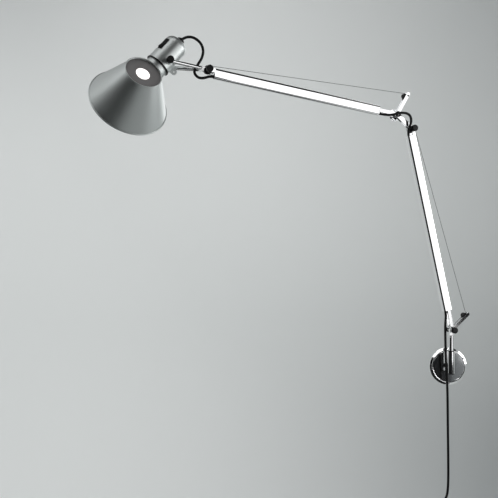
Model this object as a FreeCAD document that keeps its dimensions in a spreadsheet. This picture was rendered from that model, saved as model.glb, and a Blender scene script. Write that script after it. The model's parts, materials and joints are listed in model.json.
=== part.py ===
import FreeCAD, Part
import math
import os
import Sketcher
from FreeCAD import Placement, Rotation, Vector

# Articulating wall lamp: a wall bracket, a swivelling stem, two spring-balanced arms,
# a forked yoke and a tilting lampholder that carries a conical shade. Millimetres.
# The origin is the centre of the wall plate's back; the wall is the plane Y = 0.

os.makedirs("parts", exist_ok=True)
doc = FreeCAD.newDocument("wall_lamp")
sheet = doc.addObject("Spreadsheet::Sheet", "sizes")


class Size:
    """A number with the expression that keeps it tied to the sheet."""

    def __init__(self, value, text=None):
        self.value = float(value)
        self.text = text or repr(float(value))

    def join(self, other, sign, value):
        return Size(value, "(%s %s %s)" % (self.text, sign, other.text))

    def __add__(self, other):
        other = sized(other)
        return self.join(other, "+", self.value + other.value)

    def __sub__(self, other):
        other = sized(other)
        return self.join(other, "-", self.value - other.value)

    def __mul__(self, other):
        other = sized(other)
        return self.join(other, "*", self.value * other.value)

    def __truediv__(self, other):
        other = sized(other)
        return self.join(other, "/", self.value / other.value)

    def __radd__(self, other):
        return sized(other) + self

    def __rsub__(self, other):
        return sized(other) - self

    def __rmul__(self, other):
        return sized(other) * self

    def __neg__(self):
        return Size(-self.value, "(0 - %s)" % self.text)

    def __float__(self):
        return self.value


def sized(number):
    return number if isinstance(number, Size) else Size(number)


cells = []


def named(alias, value):
    """A driving dimension: one plain number in the sheet, under its own name."""
    row = "A%d" % (len(cells) + 1)
    cells.append(alias)
    sheet.set(row, str(value))
    sheet.setAlias(row, alias)
    return Size(value, "sizes.%s" % alias)


# ---- driving dimensions -------------------------------------------------------------------

fit_gap = named("fit_gap", 0.05)              # running clearance of a pin in its bore
side_gap = named("side_gap", 0.2)             # between flat faces that slide on each other

# wall bracket
wall_gap = named("wall_gap", 32)              # from the wall to the stem's axis
plate_radius = named("plate_radius", 42)
plate_depth = named("plate_depth", 3)
wall_hole_radius = named("wall_hole_radius", 2.4)
wall_hole_circle = named("wall_hole_circle", 28)
cover_radius = named("cover_radius", 45)
cover_depth = named("cover_depth", 10)
cover_wall = named("cover_wall", 1.5)
cover_bevel = named("cover_bevel", 5)
face_radius = named("face_radius", 37)
face_recess = named("face_recess", 0.8)
cover_screw_radius = named("cover_screw_radius", 2.6)
cover_screw_circle = named("cover_screw_circle", 40.2)
boss_radius = named("boss_radius", 8)
socket_radius = named("socket_radius", 8)
socket_bottom = named("socket_bottom", -12.5)
socket_top = named("socket_top", 40)
boss_screw_radius = named("boss_screw_radius", 2.5)
boss_screw_length = named("boss_screw_length", 16)
bush_wall = named("bush_wall", 1.2)
bush_flange = named("bush_flange", 1.6)
spigot_radius = named("spigot_radius", 4.6)
end_plug_head = named("end_plug_head", 2.5)
end_plug_depth = named("end_plug_depth", 5)

# stem and the three flat-sided joints along the arms
stem_radius = named("stem_radius", 5.5)
shoulder_height = named("shoulder_height", 92)
tongue_length = named("tongue_length", 13)
pin_radius = named("pin_radius", 2.5)
eye_radius = named("eye_radius", 5)
core_half = named("core_half", 3.1)           # half width of what sits between two lever bars
bar_thickness = named("bar_thickness", 2.2)   # lever and link bars
cheek_thickness = named("cheek_thickness", 2.3)
cheek_width = named("cheek_width", 8)
washer_thickness = named("washer_thickness", 0.9)
knob_radius = named("knob_radius", 7.6)
knob_length = named("knob_length", 9)
nut_radius = named("nut_radius", 6.5)
nut_length = named("nut_length", 5)

# arms
arm_length = named("arm_length", 490)         # lower arm, pivot to pivot along the tube
upper_length = named("upper_length", 463.5)
tube_width = named("tube_width", 23)
tube_thickness = named("tube_thickness", 14)
tube_corner = named("tube_corner", 5)
tube_wall = named("tube_wall", 1.2)
lower_tube_start = named("lower_tube_start", 49)
upper_tube_start = named("upper_tube_start", 48)
tube_end_gap = named("tube_end_gap", 15)      # from the tube's far end to the pivot beyond it
tip_offset = named("tip_offset", 5.5)         # far pivots sit off the tube's centre line
fork_plug = named("fork_plug", 14)            # how deep a fork sits in its tube
fork_bridge = named("fork_bridge", 7)
head_bridge = named("head_bridge", 1.8)
cable_offset = named("cable_offset", 7)
cable_lift = named("cable_lift", 2.2)
cable_radius = named("cable_radius", 2.9)

# balance springs, wires, rollers and levers
wire_radius = named("wire_radius", 0.5)
roller_radius = named("roller_radius", 8.5)
roller_width = named("roller_width", 4)
roller_flange = named("roller_flange", 1)
spring_radius = named("spring_radius", 4.6)
lower_spring_length = named("lower_spring_length", 230)
upper_spring_length = named("upper_spring_length", 200)
spring_start = named("spring_start", 32)      # beyond the fork that holds it
spring_side = named("spring_side", -1.2)
spring_hook_radius = named("spring_hook_radius", 1.2)
lever_length = named("lever_length", 62)
lever_width = named("lever_width", 8)
anchor_radius = named("anchor_radius", 6.6)
anchor_back = named("anchor_back", 13)        # from the lever's tip to the wire anchor
anchor_side = named("anchor_side", 4)
anchor_pin_radius = named("anchor_pin_radius", 2.2)
anchor_pin_back = named("anchor_pin_back", 8)
anchor_pin_side = named("anchor_pin_side", -1.3)

# knuckle between the arms
link_length = named("link_length", 51.4)
link_width = named("link_width", 10)
knee_cap_radius = named("knee_cap_radius", 6.8)
knee_cap_length = named("knee_cap_length", 2.6)
knee_disc_radius = named("knee_disc_radius", 13.6)
knee_disc_length = named("knee_disc_length", 4)

# yoke
yoke_length = named("yoke_length", 91.7)
yoke_bridge = named("yoke_bridge", 8)
yoke_bridge_start = named("yoke_bridge_start", 12)
rod_radius = named("rod_radius", 4.1)
rod_root = named("rod_root", 7)
yoke_eye_radius = named("yoke_eye_radius", 6.2)
yoke_eye_width = named("yoke_eye_width", 6)
tilt_pin_radius = named("tilt_pin_radius", 2.5)
tilt_knob_length = named("tilt_knob_length", 11)
tilt_knob_radius = named("tilt_knob_radius", 7.4)

# lampholder
holder_offset = named("holder_offset", 10)    # lampholder axis above the tilt pivot
collar_radius = named("collar_radius", 26)
collar_front = named("collar_front", 13)
collar_back = named("collar_back", 10)
collar_wall = named("collar_wall", 2)
collar_groove = named("collar_groove", 1)      # a turned groove round the collar's rear edge
ring_radius = named("ring_radius", 27)
ring_width = named("ring_width", 2.2)
housing_radius = named("housing_radius", 25)
housing_length = named("housing_length", 46)
housing_wall = named("housing_wall", 1.5)
housing_round = named("housing_round", 15)
gland_radius = named("gland_radius", 8)
gland_width = named("gland_width", 7)
gland_nipple_radius = named("gland_nipple_radius", 4.6)
gland_nipple = named("gland_nipple", 2)
switch_length = named("switch_length", 25)
switch_width = named("switch_width", 9)
switch_centre = named("switch_centre", 24.2)
rocker_rise = named("rocker_rise", 2.6)
switch_depth = named("switch_depth", 8)
switch_frame = named("switch_frame", 1)
rocker_gap = named("rocker_gap", 1.2)
lug_width = named("lug_width", 5)
lug_reach = named("lug_reach", 12)
lug_hole_radius = named("lug_hole_radius", 2)

# shade head
neck_radius = named("neck_radius", 23.6)
neck_wall = named("neck_wall", 1.6)
mouth_radius = named("mouth_radius", 84)
crown_radius = named("crown_radius", 38)
shade_height = named("shade_height", 92)
shade_wall = named("shade_wall", 1.2)
lip_radius = named("lip_radius", 1.6)
axis_depth = named("axis_depth", 56)          # lampholder axis meets the shade axis this far below the crown
axis_reach = named("axis_reach", 89)          # and this far in front of the tilt pivot's foot
baffle_recess = named("baffle_recess", 4)
baffle_thickness = named("baffle_thickness", 1.5)
window_radius = named("window_radius", 14.6)
handle_radius = named("handle_radius", 4)
handle_offset = named("handle_offset", 54)
handle_reach = named("handle_reach", 78)      # how far it stands out of the mouth

# lamp
lamp_socket_radius = named("lamp_socket_radius", 14)
bulb_radius = named("bulb_radius", 22)
bulb_length = named("bulb_length", 85)

# the spare cord below the wall plate, its tie and the plug
hank_bend = named("hank_bend", 17.4)          # bend radius at both ends of the hank
hank_waist = named("hank_waist", 13)          # half width where the tie goes round
hank_low = named("hank_low", -445)            # heights of the two rows of bends
hank_high = named("hank_high", -345)
hank_pitch = named("hank_pitch", 6.5)         # from one loop to the next
hank_loops = named("hank_loops", 4)
hank_lead = named("hank_lead", 10)
hank_tail = named("hank_tail", 62)
tie_gap = named("tie_gap", 0.4)
tie_wall = named("tie_wall", 1.2)
tie_half = named("tie_half", 5)
relief_length = named("relief_length", 22)
relief_radius = named("relief_radius", 6.2)
plug_width = named("plug_width", 26)
plug_length = named("plug_length", 34)
plug_thickness = named("plug_thickness", 13.6)
prong_radius = named("prong_radius", 2)
prong_length = named("prong_length", 19)
prong_spacing = named("prong_spacing", 19)

# directions at rest, in degrees
swing_angle = named("swing_angle", 20)
lower_angle = named("lower_angle", 103.7)
upper_angle = named("upper_angle", 172.45)
stem_lever_angle = named("stem_lever_angle", 39.2)
link_angle = named("link_angle", 143.2)
knee_lever_angle = named("knee_lever_angle", 58.9)
yoke_angle = named("yoke_angle", 177.25)
head_angle = named("head_angle", 49)
roll_angle = named("roll_angle", 76.7)
shade_angle = named("shade_angle", 60.6)
switch_angle = named("switch_angle", 33)

doc.recompute()

cheek_inner = core_half + bar_thickness + side_gap
cheek_outer = cheek_inner + cheek_thickness
bore_radius = pin_radius + fit_gap

# ---- building blocks ----------------------------------------------------------------------

parts = {}
AXES = {"x": Rotation(Vector(0, 1, 0), 90), "y": Rotation(Vector(1, 0, 0), -90), "z": Rotation()}


def bind(target, name, size):
    size = sized(size)
    target.setExpression(name, size.text)


def place_block(block, at):
    for letter, size in zip("xyz", at):
        bind(block, "Placement.Base.%s" % letter, size)
    return block


def box(low, high):
    """A box between two corners given as sizes."""
    block = doc.addObject("Part::Box", "block")
    for name, a, b in zip(("Length", "Width", "Height"), low, high):
        bind(block, name, sized(b) - a)
    return place_block(block, low)


def cylinder(radius, start, end, across=(0, 0), along="z"):
    """A cylinder along one axis, from start to end, at the two other coordinates."""
    block = doc.addObject("Part::Cylinder", "round")
    bind(block, "Radius", radius)
    bind(block, "Height", sized(end) - start)
    block.Placement = Placement(Vector(), AXES[along])
    at = {"x": (start, across[0], across[1]),
          "y": (across[0], start, across[1]),
          "z": (across[0], across[1], start)}[along]
    return place_block(block, at)


def combine(kind, name, pieces):
    result = doc.addObject(kind, name)
    result.Shapes = pieces
    return result


def fuse(*pieces):
    return combine("Part::MultiFuse", "joined", list(pieces))


def group(*pieces):
    result = doc.addObject("Part::Compound", "group")
    result.Links = list(pieces)
    return result


def cut(base, *tools):
    result = doc.addObject("Part::Cut", "cut")
    result.Base = base
    result.Tool = tools[0] if len(tools) == 1 else fuse(*tools)
    return result


def common(*pieces):
    return combine("Part::MultiCommon", "shared", list(pieces))


def finish(label, piece, placement=None):
    """Give a finished sub-part its name and its place in the lamp."""
    piece.Label = label
    doc.recompute()
    if placement is not None:
        piece.Placement = placement.multiply(piece.Placement)
    parts[label] = piece
    return piece


def new_sketch(body, plane):
    sketch = body.newObject("Sketcher::SketchObject", "outline")
    feature = [f for f in body.Origin.OriginFeatures if f.Role == plane][0]
    sketch.AttachmentSupport = [(feature, "")]
    sketch.MapMode = "FlatFace"
    return sketch


def tie_point(sketch, line, end, x, y):
    """Hold one end of a line at two sizes measured from the sketch's origin."""
    for kind, size, axis in (("DistanceX", sized(x), -2), ("DistanceY", sized(y), -1)):
        if size.value == 0:
            sketch.addConstraint(Sketcher.Constraint("PointOnObject", line, end, axis))
            continue
        index = sketch.addConstraint(
            Sketcher.Constraint(kind, -1, 1, line, end, size.value))
        sketch.setExpression("Constraints[%d]" % index, size.text)


def draw_outline(sketch, points):
    spots = [Vector(float(sized(x)), float(sized(y)), 0) for x, y in points]
    count = len(spots)
    for i in range(count):
        sketch.addGeometry(Part.LineSegment(spots[i], spots[(i + 1) % count]), False)
    for i in range(count):
        sketch.addConstraint(Sketcher.Constraint("Coincident", i, 2, (i + 1) % count, 1))
    for i, (x, y) in enumerate(points):
        tie_point(sketch, i, 1, x, y)


def turned(points, name="turned"):
    """A solid of revolution about Z from (radius, height) corners."""
    body = doc.addObject("PartDesign::Body", name)
    sketch = new_sketch(body, "XZ_Plane")
    draw_outline(sketch, points)
    spin = body.newObject("PartDesign::Revolution", "spin")
    spin.Profile = sketch
    spin.ReferenceAxis = (sketch, ["V_Axis"])
    spin.Angle = 360
    body.Tip = spin
    doc.recompute()
    return body


def padded(points, start, depth, plane="XY_Plane", name="padded"):
    """A flat outline padded from start over depth."""
    body = doc.addObject("PartDesign::Body", name)
    sketch = new_sketch(body, plane)
    draw_outline(sketch, points)
    bind(sketch, "AttachmentOffset.Base.z", start)
    pad = body.newObject("PartDesign::Pad", "pad")
    pad.Profile = sketch
    bind(pad, "Length", depth)
    body.Tip = pad
    doc.recompute()
    return body


def rounded(body, radius, wanted, kind="PartDesign::Fillet"):
    """Round or chamfer the edges of a body's tip that a test picks out."""
    tip = body.Tip
    names = ["Edge%d" % (i + 1) for i, edge in enumerate(tip.Shape.Edges) if wanted(edge)]
    feature = body.newObject(kind, "rounding")
    feature.Base = (tip, names)
    bind(feature, "Radius" if kind.endswith("Fillet") else "Size", radius)
    body.Tip = feature
    doc.recompute()
    return body


def circle_at(height, radius=None):
    """A test for circular edges at one height, and of one radius if it is given."""
    def wanted(edge):
        round_edge = isinstance(edge.Curve, Part.Circle)
        level = round_edge and abs(edge.Curve.Center.z - float(height)) < 0.01
        return level and (radius is None or abs(edge.Curve.Radius - float(radius)) < 0.01)
    return wanted


def parallel_to(direction):
    def wanted(edge):
        if not isinstance(edge.Curve, (Part.Line, Part.LineSegment)):
            return False
        return abs(edge.Curve.Direction.dot(direction)) > 0.999
    return wanted


def bar(length, width, low, high, start=0):
    """A flat bar with two round ends, lying along X between two heights."""
    half = sized(width) / 2
    return fuse(box((start, -half, low), (length, half, high)),
                cylinder(half, low, high, (start, 0)),
                cylinder(half, low, high, (length, 0)))


def both_sides(make, low, high):
    """The same piece on the near and on the far side of the arm plane."""
    return make(low, high), make(-sized(high), -sized(low))


# ---- frames -------------------------------------------------------------------------------

def polar(length, degrees):
    turn = math.radians(float(degrees))
    return Vector(float(length) * math.cos(turn), float(length) * math.sin(turn), 0)


def turned_frame(at, degrees):
    return Placement(at, Rotation(Vector(0, 0, 1), float(degrees)))


swing = math.radians(float(swing_angle))
right = Vector(math.cos(swing), math.sin(swing), 0)
near = Vector(math.sin(swing), -math.cos(swing), 0)
ARM_PLANE = Placement(Vector(0, -float(wall_gap), 0),
                      Rotation(right, Vector(0, 0, 1), near, "XYZ"))

shoulder = Vector(0, float(shoulder_height), 0)
lower_frame = turned_frame(shoulder, lower_angle)
elbow = lower_frame.multVec(Vector(float(arm_length), -float(tip_offset), 0))
link_frame = turned_frame(elbow, link_angle)
knee = link_frame.multVec(Vector(float(link_length), 0, 0))
upper_frame = turned_frame(knee, upper_angle)
wrist = upper_frame.multVec(Vector(float(upper_length), -float(tip_offset), 0))
yoke_frame = turned_frame(wrist, yoke_angle)
tilt = yoke_frame.multVec(Vector(float(yoke_length), 0, 0))
head_frame = turned_frame(tilt, head_angle)
stem_lever_frame = turned_frame(shoulder, stem_lever_angle)
knee_lever_frame = turned_frame(knee, knee_lever_angle)
# lampholder: Z along its axis to the rear, X to its top, Y to the near side
holder_frame = head_frame.multiply(
    Placement(Vector(0, float(holder_offset), 0),
              Rotation(Vector(0, 1, 0), Vector(0, 0, 1), Vector(1, 0, 0), "XYZ")))
# shade: Z up its own axis, X towards the lampholder, origin in the crown plane
shade_frame = holder_frame.multiply(
    Placement(Vector(0, 0, -float(axis_reach)), Rotation(Vector(0, 0, 1), float(roll_angle))))
tip = math.radians(float(shade_angle))
up = Vector(math.sin(tip), 0, math.cos(tip))
out = Vector(-math.cos(tip), 0, math.sin(tip))
shade_frame = shade_frame.multiply(
    Placement(up * float(axis_depth), Rotation(out, up.cross(out), up, "XYZ")))


def in_lamp(frame):
    return ARM_PLANE.multiply(frame)


FLAT = Placement()
print("shoulder", shoulder, "elbow", elbow, "knee", knee, "wrist", wrist, "tilt", tilt)

# ---- wall bracket -------------------------------------------------------------------------

# local Z stands out of the wall, local Y is up
WALL = Placement(Vector(), Rotation(Vector(1, 0, 0), Vector(0, 0, 1), Vector(0, -1, 0), "XYZ"))


def around(radius, angles, make):
    """Copies of a piece at the same radius round the local Z axis."""
    spots = [polar(radius, angle) for angle in angles]
    return [make(spot.x, spot.y) for spot in spots]


SCREW_ANGLES = (30, 150, 270)
WALL_HOLE_ANGLES = (90, 210, 330)
cover_face = cover_depth - face_recess
screw_seat = cover_depth - 1.4


def wall_plate():
    disc = cylinder(plate_radius, 0, plate_depth)
    holes = around(wall_hole_circle, WALL_HOLE_ANGLES,
                   lambda x, y: cylinder(wall_hole_radius, 0, plate_depth, (x, y)))
    threads = around(cover_screw_circle, SCREW_ANGLES,
                     lambda x, y: cylinder(cover_screw_radius / 2, 0, plate_depth, (x, y)))
    screw_hole = cylinder(boss_screw_radius, 0, plate_depth)
    head_recess = cylinder(boss_screw_radius * 1.8, 0, plate_depth / 2)
    return finish("wall_plate", cut(disc, screw_hole, head_recess, *(holes + threads)), WALL)


def plate_cover():
    inside = cover_radius - cover_wall
    body = turned([(inside, 0), (cover_radius, 0), (cover_radius, cover_depth - cover_bevel),
                   (cover_radius - cover_bevel, cover_depth), (face_radius, cover_depth),
                   (face_radius, cover_face), (boss_radius + side_gap, cover_face),
                   (boss_radius + side_gap, cover_face - cover_wall),
                   (cover_radius - cover_bevel - 0.5, cover_face - cover_wall),
                   (inside, cover_depth - cover_bevel - 1)])
    seats = around(cover_screw_circle, SCREW_ANGLES,
                   lambda x, y: cylinder(cover_screw_radius + side_gap, screw_seat,
                                         cover_depth + 1, (x, y)))
    holes = around(cover_screw_circle, SCREW_ANGLES,
                   lambda x, y: cylinder(cover_screw_radius / 2 + fit_gap, 0,
                                         cover_depth, (x, y)))
    return finish("plate_cover", cut(body, *(seats + holes)), WALL)


def bracket_screws():
    """Three cover screws in sight and the one behind the plate that holds the boss."""
    def screw(x, y):
        head = cylinder(cover_screw_radius, screw_seat, cover_depth + 0.8, (x, y))
        return fuse(head, cylinder(cover_screw_radius / 2, plate_depth / 3, screw_seat, (x, y)))
    boss_head = cylinder(boss_screw_radius * 1.8, 0.2, plate_depth / 2)
    boss_shank = cylinder(boss_screw_radius, plate_depth / 2, boss_screw_length)
    screws = around(cover_screw_circle, SCREW_ANGLES, screw) + [fuse(boss_head, boss_shank)]
    return finish("bracket_screws", group(*screws), WALL)


bush_radius = spigot_radius + fit_gap + bush_wall
stem_foot = socket_top + bush_flange + side_gap


def socket_tube():
    """The upright socket and the boss that holds it off the wall, as one casting."""
    tube = cylinder(socket_radius, socket_bottom, socket_top, (0, -wall_gap))
    boss = cylinder(boss_radius, -wall_gap, -plate_depth, (0, 0), "y")
    bore = cylinder(bush_radius, socket_bottom, socket_top, (0, -wall_gap))
    thread = cylinder(boss_screw_radius, -boss_screw_length, -plate_depth, (0, 0), "y")
    return finish("socket_tube", cut(fuse(tube, boss), bore, thread))


def socket_bush():
    inner = spigot_radius + fit_gap
    low = socket_bottom + end_plug_depth
    body = turned([(inner, low), (bush_radius, low), (bush_radius, socket_top),
                   (socket_radius - 0.4, socket_top), (socket_radius - 0.4, socket_top + bush_flange),
                   (inner, socket_top + bush_flange)])
    return finish("socket_bush", body, Placement(Vector(0, -float(wall_gap), 0), Rotation()))


def end_plug():
    body = turned([(0, socket_bottom - end_plug_head), (socket_radius - 1.5, socket_bottom - end_plug_head),
                   (socket_radius - 0.8, socket_bottom), (bush_radius, socket_bottom),
                   (bush_radius, socket_bottom + end_plug_depth), (0, socket_bottom + end_plug_depth)])
    return finish("end_plug", body, Placement(Vector(0, -float(wall_gap), 0), Rotation()))


# ---- pivots: pins, knobs, nuts and rollers ------------------------------------------------

knob_seat = cheek_outer + washer_thickness
pin_reach = knob_seat + knob_length - 4


def pivot_pin(label, frame, *fixed_head):
    """A pin through a fork, with a washer outside each cheek and perhaps a fixed far head."""
    shaft = cylinder(pin_radius, -(knob_seat + nut_length), pin_reach)
    near_washer = cylinder(eye_radius, cheek_outer + side_gap / 2, knob_seat)
    far_washer = cylinder(eye_radius, -knob_seat, -(cheek_outer + side_gap / 2))
    return finish(label, fuse(shaft, near_washer, far_washer, *fixed_head), in_lamp(frame))


def hand_knob(label, frame, radius, length, seat):
    """A black turning knob with a rounded rim and a stepped foot, screwed on a pin."""
    bore = pin_radius + fit_gap
    low = seat + side_gap
    body = turned([(bore, low), (radius * 0.6, low), (radius * 0.6, low + 2), (radius, low + 2),
                   (radius, low + length), (0, low + length), (0, low + length - 3.5),
                   (bore, low + length - 3.5)])
    rounded(body, 1.5, circle_at(low + length, radius))
    return finish(label, body, in_lamp(frame))


def pivot_nut(frame=None):
    half = turned([(pin_radius, -(knob_seat + nut_length)), (nut_radius * 0.8, -(knob_seat + nut_length)),
                   (nut_radius, -(knob_seat + nut_length - 1.2)), (nut_radius, -knob_seat),
                   (pin_radius, -knob_seat)])
    if frame is not None:
        half.Placement = frame
    return half


def guide_roller(label, frame):
    """A grooved wheel between the inner bars, with the wire lying in its groove."""
    half = roller_width / 2
    rim = roller_radius + 2 * wire_radius
    bore = bore_radius
    body = turned([(bore, -half), (rim, -half), (rim, -(half - roller_flange)),
                   (roller_radius, -(wire_radius + 0.2)), (roller_radius, wire_radius + 0.2),
                   (rim, half - roller_flange), (rim, half), (bore, half)])
    return finish(label, body, in_lamp(frame))


# ---- levers and their wire anchors --------------------------------------------------------

lever_end = lever_length - lever_width / 2
anchor_place = (lever_length - anchor_back, anchor_side)
anchor_pin_place = (lever_length - anchor_pin_back, anchor_pin_side)


def lever_bar(low, high):
    base = bar(lever_end, lever_width, low, high)
    return cut(base, cylinder(pin_radius, low, high),
               cylinder(anchor_pin_radius, low, high, anchor_pin_place))


def stem_lever():
    bars = both_sides(lever_bar, core_half, core_half + bar_thickness)
    return finish("stem_lever", group(*bars), in_lamp(stem_lever_frame))


def wire_anchor(label, frame):
    """A grooved half round held between the lever's bars, where the wire ends."""
    half = core_half - side_gap / 2
    drum = cylinder(anchor_radius, -half, half, anchor_place)
    tongue = cylinder(anchor_pin_radius + 1, -half, half, anchor_pin_place)
    hole = cylinder(anchor_pin_radius, -half, half, anchor_pin_place)
    return finish(label, cut(fuse(drum, tongue), hole), in_lamp(frame))


def anchor_pin(frame):
    reach = core_half + bar_thickness + 0.4
    pin = cylinder(anchor_pin_radius, -reach, reach, anchor_pin_place)
    holder = group(pin)
    holder.Placement = frame
    return holder


# ---- stem ---------------------------------------------------------------------------------

def stem():
    spigot = cylinder(spigot_radius, socket_bottom + end_plug_depth + 1, stem_foot, (0, 0), "y")
    rod = cylinder(stem_radius, stem_foot, shoulder_height - tongue_length, (0, 0), "y")
    tongue = box((-stem_radius + 0.6, shoulder_height - tongue_length - 6, -core_half),
                 (stem_radius - 0.6, shoulder_height, core_half))
    eye = cylinder(stem_radius - 0.6, -core_half, core_half, (0, shoulder_height))
    hole = cylinder(pin_radius, -core_half, core_half, (0, shoulder_height))
    return finish("stem", cut(fuse(spigot, rod, tongue, eye), hole), in_lamp(FLAT))


def stem_fasteners():
    """The far nut of the shoulder pin and the pin of the lever's wire anchor."""
    pieces = group(pivot_nut(turned_frame(shoulder, 0)), anchor_pin(stem_lever_frame))
    return finish("stem_fasteners", pieces, in_lamp(FLAT))


# ---- arms ---------------------------------------------------------------------------------

inside_width = tube_width / 2 - tube_wall
inside_thickness = tube_thickness / 2 - tube_wall


def tube_form(start, end, inset):
    """The tube's rounded section as a solid, set in from its outer face."""
    across = tube_width / 2 - inset
    depth = tube_thickness / 2 - inset
    corners = [(-across, -depth), (across, -depth), (across, depth), (-across, depth)]
    body = padded(corners, start, end - start, "YZ_Plane")
    return rounded(body, tube_corner - inset, parallel_to(Vector(1, 0, 0)))


def arm_tube(label, frame, start, end):
    """A flattened tube with rounded corners."""
    outer = tube_form(start, end, sized(0))
    return finish(label, cut(outer, tube_form(start, end, tube_wall)), in_lamp(frame))


def tube_filling(block, start, end):
    """What a block and the hollow of the tube have in common."""
    return common(block, tube_form(start, end, tube_wall + fit_gap))


def fork_cheeks(start, end, across, eye_at):
    """Two flat cheeks on either side of the inner bars, with an eye at the pivot."""
    half = cheek_width / 2

    def cheek(low, high):
        bar_box = box((start, across - half, low), (end, across + half, high))
        return fuse(bar_box, cylinder(eye_radius, low, high, eye_at))
    return both_sides(cheek, cheek_inner, cheek_outer)


def foot_fork(label, frame, tube_start):
    """Sits in the near end of a tube and straddles the pivot below it."""
    cable_side = cable_offset - cable_radius - 0.6
    wire_side = -(inside_width - fit_gap)
    depth = inside_thickness - fit_gap
    plug = box((tube_start, wire_side, -depth), (tube_start + fork_plug, cable_side, depth))
    plug = tube_filling(plug, tube_start, tube_start + fork_plug)
    bridge = box((tube_start - fork_bridge, -cheek_width / 2, -cheek_outer),
                 (tube_start, cable_side, cheek_outer))
    cheeks = fork_cheeks(0, tube_start - fork_bridge, Size(0), (0, 0))
    bore = cylinder(bore_radius, -cheek_outer, cheek_outer)
    solid = fuse(plug, bridge, *cheeks)
    return finish(label, cut(solid, bore), in_lamp(frame))


def head_fork(label, frame, length):
    """Sits in the far end of a tube and straddles the next pivot and its roller."""
    tube_end = length - tube_end_gap
    cable_side = cheek_width / 2 - tip_offset + 2.6
    wire_side = -(inside_width - fit_gap)
    depth = inside_thickness - fit_gap
    plug = box((tube_end - fork_plug, wire_side + tube_corner / 2, -depth),
               (tube_end, cable_side, depth))
    plug = tube_filling(plug, tube_end - fork_plug, tube_end)
    bridge = box((tube_end, -tip_offset - cheek_width / 2, -cheek_outer),
                 (tube_end + head_bridge, cheek_width / 2 - tip_offset, cheek_outer))
    cheeks = fork_cheeks(tube_end, length, -tip_offset, (length, -tip_offset))
    hole = cylinder(pin_radius, -cheek_outer, cheek_outer, (length, -tip_offset))
    return finish(label, cut(fuse(plug, bridge, *cheeks), hole), in_lamp(frame))


def balance_spring(label, frame, tube_start, length):
    """The coiled spring's envelope, with the eye rod that hooks it to the foot fork."""
    first = tube_start + spring_start
    coil = cylinder(spring_radius, first, first + length, (spring_side, 0), "x")
    hook = cylinder(spring_hook_radius, tube_start + fork_plug, first, (spring_side, 0), "x")
    return finish(label, fuse(hook, coil), in_lamp(frame))


def arm_cable(label, frame, start, end):
    core = cylinder(cable_radius, start, end, (cable_offset, cable_lift), "x")
    return finish(label, group(core), in_lamp(frame))


# ---- wires and cables ---------------------------------------------------------------------

def swept(path, radius):
    """One unbroken round tube along a wire of tangent edges."""
    first = path.Edges[0]
    at = first.valueAt(first.FirstParameter)
    along = first.tangentAt(first.FirstParameter)
    section = Part.Wire(Part.makeCircle(float(radius), at, along))
    return path.makePipeShell([section], True, False)


def cord_path(label, points):
    """Straight runs joined by tangent arcs, each as large as its two runs allow."""
    edges = []
    radii = []
    at = points[0]
    for before, corner, after in zip(points, points[1:], points[2:]):
        come = (corner - before).normalize()
        leave = (after - corner).normalize()
        half_turn = come.getAngle(leave) / 2
        cutback = 0.45 * min((corner - before).Length, (after - corner).Length)
        radii.append(cutback / math.tan(half_turn))
        start = corner - come * cutback
        end = corner + leave * cutback
        inward = (leave - come).normalize()
        bulge = radii[-1] / math.cos(half_turn) - radii[-1]
        edges.append(Part.makeLine(at, start))
        edges.append(Part.Arc(start, corner + inward * bulge, end).toShape())
        at = end
    edges.append(Part.makeLine(at, points[-1]))
    path = Part.Wire(edges)
    print("%s radii %s" % (label, ["%.1f" % radius for radius in radii]))
    return path


def add_tube(label, path, radius, placement):
    shape = swept(path, radius)
    wanted = math.pi * float(radius) ** 2 * path.Length
    print("%s length %.1f volume ratio %.5f" % (label, path.Length, shape.Volume / wanted))
    piece = doc.addObject("Part::Feature", label)
    piece.Shape = shape
    piece.Label = label
    piece.Placement = placement
    parts[label] = piece


def tube_end(frame, along, across, lift=cable_lift):
    """A point of an arm's frame at the cable's place in the tube, in the arm plane's axes."""
    return frame.multVec(Vector(float(along), float(across), float(lift)))


def tangent_from(point, centre, radius, side):
    """Where a line from a point touches a circle, on the left (1) or right (-1) of its way."""
    way = centre - point
    reach = math.sqrt(way.Length ** 2 - radius ** 2)
    turn = side * math.asin(radius / way.Length)
    direction = Rotation(Vector(0, 0, 1), math.degrees(turn)).multVec(way.normalize())
    return point + direction * reach


def balance_wire(label, arm, length, lever, spring_top):
    """From the lever's anchor over the guide roller and back down the tube to the spring."""
    hub = arm.multVec(Vector(float(length), -float(tip_offset), 0))
    drum = lever.multVec(Vector(float(anchor_place[0]), float(anchor_place[1]), 0))
    gap = 0.03
    lie = float(roller_radius) + float(wire_radius) + gap
    drum_lie = float(anchor_radius) + float(wire_radius) + gap
    way = (hub - drum).normalize()
    spread = math.asin((lie - drum_lie) / (hub - drum).Length)
    outward = Rotation(Vector(0, 0, 1), -90 + math.degrees(spread)).multVec(way)
    start = drum + outward * drum_lie
    touch = hub + outward * lie
    hook = arm.multVec(Vector(float(spring_top), float(spring_side), 0))
    leave = tangent_from(hook, hub, lie, 1)
    middle = ((touch - hub) + (leave - hub)).normalize()
    crest = middle if middle.dot(hub - drum) > 0 else -middle
    path = Part.Wire([Part.makeLine(start, touch),
                      Part.Arc(touch, hub + crest * lie, leave).toShape(),
                      Part.makeLine(leave, hook)])
    add_tube(label, path, wire_radius, ARM_PLANE)


# ---- knuckle: two cranked plates with a link and a lever arm ------------------------------

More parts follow.
